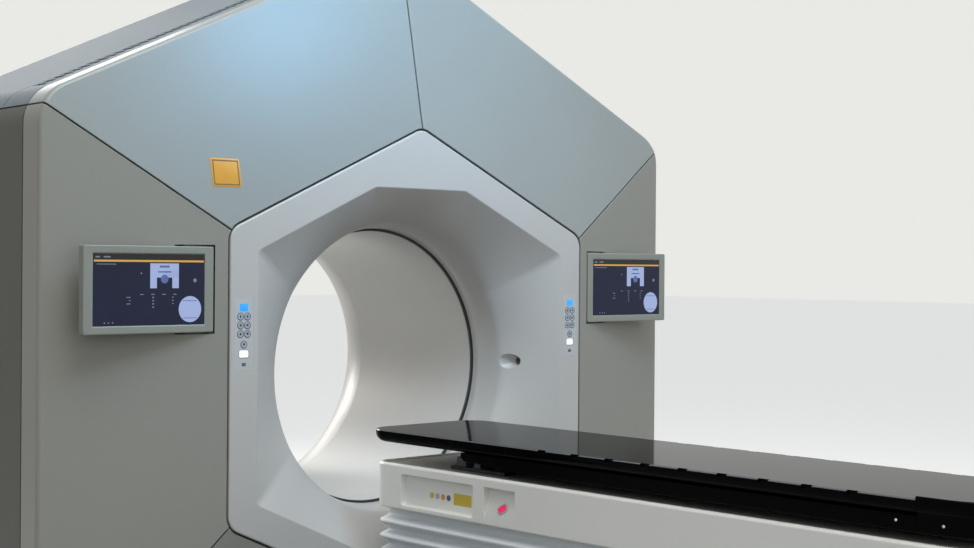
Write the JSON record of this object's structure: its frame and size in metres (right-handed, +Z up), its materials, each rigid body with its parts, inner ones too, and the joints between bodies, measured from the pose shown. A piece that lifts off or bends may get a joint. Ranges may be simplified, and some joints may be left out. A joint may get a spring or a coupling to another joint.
{
  "type": "ring gantry radiotherapy scanner with patient couch",
  "caption": "Closed ring gantry with a round bore, turning treatment and imaging drum, hexagonal funnel front, monitors and keypads, and a patient couch that rises and slides into the bore.",
  "frame": {"origin": "on the floor under the centre of the ring, on the underside of the gantry floor plate", "axes": "+X to the right as seen facing the bore from the couch side, +Y along the bore from the couch to the back of the gantry, +Z up"},
  "size_m": [2.83, 3.64, 2.6576],
  "materials": {
    "stand_paint": "satin",
    "bearing_steel": "ground",
    "motor_iron": "matte",
    "frame_aluminium": "mill finish",
    "white_moulding": "satin",
    "seal_rubber": "matte",
    "panel_grey": "satin",
    "roof_light": "satin",
    "flank_dark": "satin",
    "monitor_grey": "matte",
    "screen_glass": "gloss",
    "keypad_white": "satin",
    "key_grey": "satin",
    "key_lit": "translucent",
    "drum_iron": "painted",
    "head_paint": "satin",
    "collimator_steel": "ground",
    "stop_iron": "painted",
    "detector_grey": "satin",
    "bellows_rubber": "satin",
    "deck_grey": "satin",
    "slide_aluminium": "painted",
    "couch_laminate": "high gloss",
    "stop_red": "lit from inside"
  },
  "bodies": {
    "gantry": {"gantry_frame": "stand_paint", "bearing_race": "bearing_steel", "motor_stator": "motor_iron", "cover_frame": "frame_aluminium", "front_bezel": "white_moulding", "bore_seal": "seal_rubber", "bore_tube": "white_moulding", "rear_bezel": "white_moulding", "panel_upper_left": "panel_grey", "panel_upper_right": "panel_grey", "panel_side_left": "panel_grey", "panel_side_right": "panel_grey", "panel_lower_left": "panel_grey", "panel_lower_right": "panel_grey", "roof_left": "roof_light", "roof_right": "roof_light", "flank_left": "flank_dark", "flank_right": "flank_dark", "rear_cover_left": "roof_light", "rear_cover_right": "roof_light", "monitor_left": "monitor_grey", "monitor_right": "monitor_grey", "screen_left": "screen_glass", "screen_right": "screen_glass", "keypad_left": "keypad_white", "keypad_right": "keypad_white", "port_lens": "screen_glass", "couch_base": "stand_paint", "bellows": "bellows_rubber"},
    "rotor": {"rotor_drum": "drum_iron", "treatment_head": "head_paint", "collimator": "collimator_steel", "beam_stop": "stop_iron", "imaging_tube": "head_paint", "imaging_detector": "detector_grey"},
    "lift_middle": {"lift_stage": "bearing_steel"},
    "couch_carrier": {"couch_body": "white_moulding", "couch_deck": "deck_grey", "lift_post": "bearing_steel"},
    "saddle": {"couch_saddle": "slide_aluminium"},
    "tabletop": {"couch_frame": "slide_aluminium", "couch_top": "couch_laminate"},
    "key_left_1_body": {"key_left_1": "key_grey"},
    "key_left_2_body": {"key_left_2": "key_grey"},
    "key_left_3_body": {"key_left_3": "key_grey"},
    "key_left_4_body": {"key_left_4": "key_grey"},
    "key_left_5_body": {"key_left_5": "key_grey"},
    "key_left_6_body": {"key_left_6": "key_grey"},
    "key_left_7_body": {"key_left_7": "key_grey"},
    "key_left_8_body": {"key_left_8": "key_lit"},
    "key_right_1_body": {"key_right_1": "key_grey"},
    "key_right_2_body": {"key_right_2": "key_grey"},
    "key_right_3_body": {"key_right_3": "key_grey"},
    "key_right_4_body": {"key_right_4": "key_grey"},
    "key_right_5_body": {"key_right_5": "key_grey"},
    "key_right_6_body": {"key_right_6": "key_grey"},
    "key_right_7_body": {"key_right_7": "key_grey"},
    "key_right_8_body": {"key_right_8": "key_lit"},
    "stop_left_body": {"stop_button_left": "stop_red"},
    "stop_right_body": {"stop_button_right": "stop_red"}
  },
  "joints": [
    {"name": "gantry_rotation", "type": "hinge", "parent": "gantry", "child": "rotor", "pos_m": [0, 0, 1.12], "axis": [0, 1, 0], "range_deg": [-185, 185]},
    {"name": "couch_lift", "type": "slide", "parent": "gantry", "child": "couch_carrier", "axis": [0, 0, 1], "range_m": [-0.12, 0.08], "deforming": ["bellows"]},
    {"name": "stage_lift", "type": "slide", "parent": "gantry", "child": "lift_middle", "axis": [0, 0, 1], "range_m": [-0.06, 0.04]},
    {"name": "couch_lateral", "type": "slide", "parent": "couch_carrier", "child": "saddle", "axis": [1, 0, 0], "range_m": [-0.02, 0.02]},
    {"name": "couch_long", "type": "slide", "parent": "saddle", "child": "tabletop", "axis": [0, 1, 0], "range_m": [0, 1.6]},
    {"name": "press_left_1", "type": "slide", "parent": "gantry", "child": "key_left_1_body", "axis": [0, 1, 0], "range_m": [0, 0.0016], "stiffness_N_per_m": 500, "springref_m": -0.002},
    {"name": "press_left_2", "type": "slide", "parent": "gantry", "child": "key_left_2_body", "axis": [0, 1, 0], "range_m": [0, 0.0016], "stiffness_N_per_m": 500, "springref_m": -0.002},
    {"name": "press_left_3", "type": "slide", "parent": "gantry", "child": "key_left_3_body", "axis": [0, 1, 0], "range_m": [0, 0.0016], "stiffness_N_per_m": 500, "springref_m": -0.002},
    {"name": "press_left_4", "type": "slide", "parent": "gantry", "child": "key_left_4_body", "axis": [0, 1, 0], "range_m": [0, 0.0016], "stiffness_N_per_m": 500, "springref_m": -0.002},
    {"name": "press_left_5", "type": "slide", "parent": "gantry", "child": "key_left_5_body", "axis": [0, 1, 0], "range_m": [0, 0.0016], "stiffness_N_per_m": 500, "springref_m": -0.002},
    {"name": "press_left_6", "type": "slide", "parent": "gantry", "child": "key_left_6_body", "axis": [0, 1, 0], "range_m": [0, 0.0016], "stiffness_N_per_m": 500, "springref_m": -0.002},
    {"name": "press_left_7", "type": "slide", "parent": "gantry", "child": "key_left_7_body", "axis": [0, 1, 0], "range_m": [0, 0.0016], "stiffness_N_per_m": 500, "springref_m": -0.002},
    {"name": "press_left_8", "type": "slide", "parent": "gantry", "child": "key_left_8_body", "axis": [0, 1, 0], "range_m": [0, 0.0016], "stiffness_N_per_m": 500, "springref_m": -0.002},
    {"name": "press_right_1", "type": "slide", "parent": "gantry", "child": "key_right_1_body", "axis": [0, 1, 0], "range_m": [0, 0.0016], "stiffness_N_per_m": 500, "springref_m": -0.002},
    {"name": "press_right_2", "type": "slide", "parent": "gantry", "child": "key_right_2_body", "axis": [0, 1, 0], "range_m": [0, 0.0016], "stiffness_N_per_m": 500, "springref_m": -0.002},
    {"name": "press_right_3", "type": "slide", "parent": "gantry", "child": "key_right_3_body", "axis": [0, 1, 0], "range_m": [0, 0.0016], "stiffness_N_per_m": 500, "springref_m": -0.002},
    {"name": "press_right_4", "type": "slide", "parent": "gantry", "child": "key_right_4_body", "axis": [0, 1, 0], "range_m": [0, 0.0016], "stiffness_N_per_m": 500, "springref_m": -0.002},
    {"name": "press_right_5", "type": "slide", "parent": "gantry", "child": "key_right_5_body", "axis": [0, 1, 0], "range_m": [0, 0.0016], "stiffness_N_per_m": 500, "springref_m": -0.002},
    {"name": "press_right_6", "type": "slide", "parent": "gantry", "child": "key_right_6_body", "axis": [0, 1, 0], "range_m": [0, 0.0016], "stiffness_N_per_m": 500, "springref_m": -0.002},
    {"name": "press_right_7", "type": "slide", "parent": "gantry", "child": "key_right_7_body", "axis": [0, 1, 0], "range_m": [0, 0.0016], "stiffness_N_per_m": 500, "springref_m": -0.002},
    {"name": "press_right_8", "type": "slide", "parent": "gantry", "child": "key_right_8_body", "axis": [0, 1, 0], "range_m": [0, 0.0016], "stiffness_N_per_m": 500, "springref_m": -0.002},
    {"name": "stop_left_press", "type": "slide", "parent": "couch_carrier", "child": "stop_left_body", "axis": [0.9536, 0, -0.3011], "range_m": [0, 0.004], "stiffness_N_per_m": 1200, "springref_m": -0.004},
    {"name": "stop_right_press", "type": "slide", "parent": "couch_carrier", "child": "stop_right_body", "axis": [-0.9536, 0, -0.3011], "range_m": [0, 0.004], "stiffness_N_per_m": 1200, "springref_m": -0.004}
  ],
  "couplings": [
    {"joint": "stage_lift", "follows": "couch_lift", "ratio": 0.5}
  ]
}
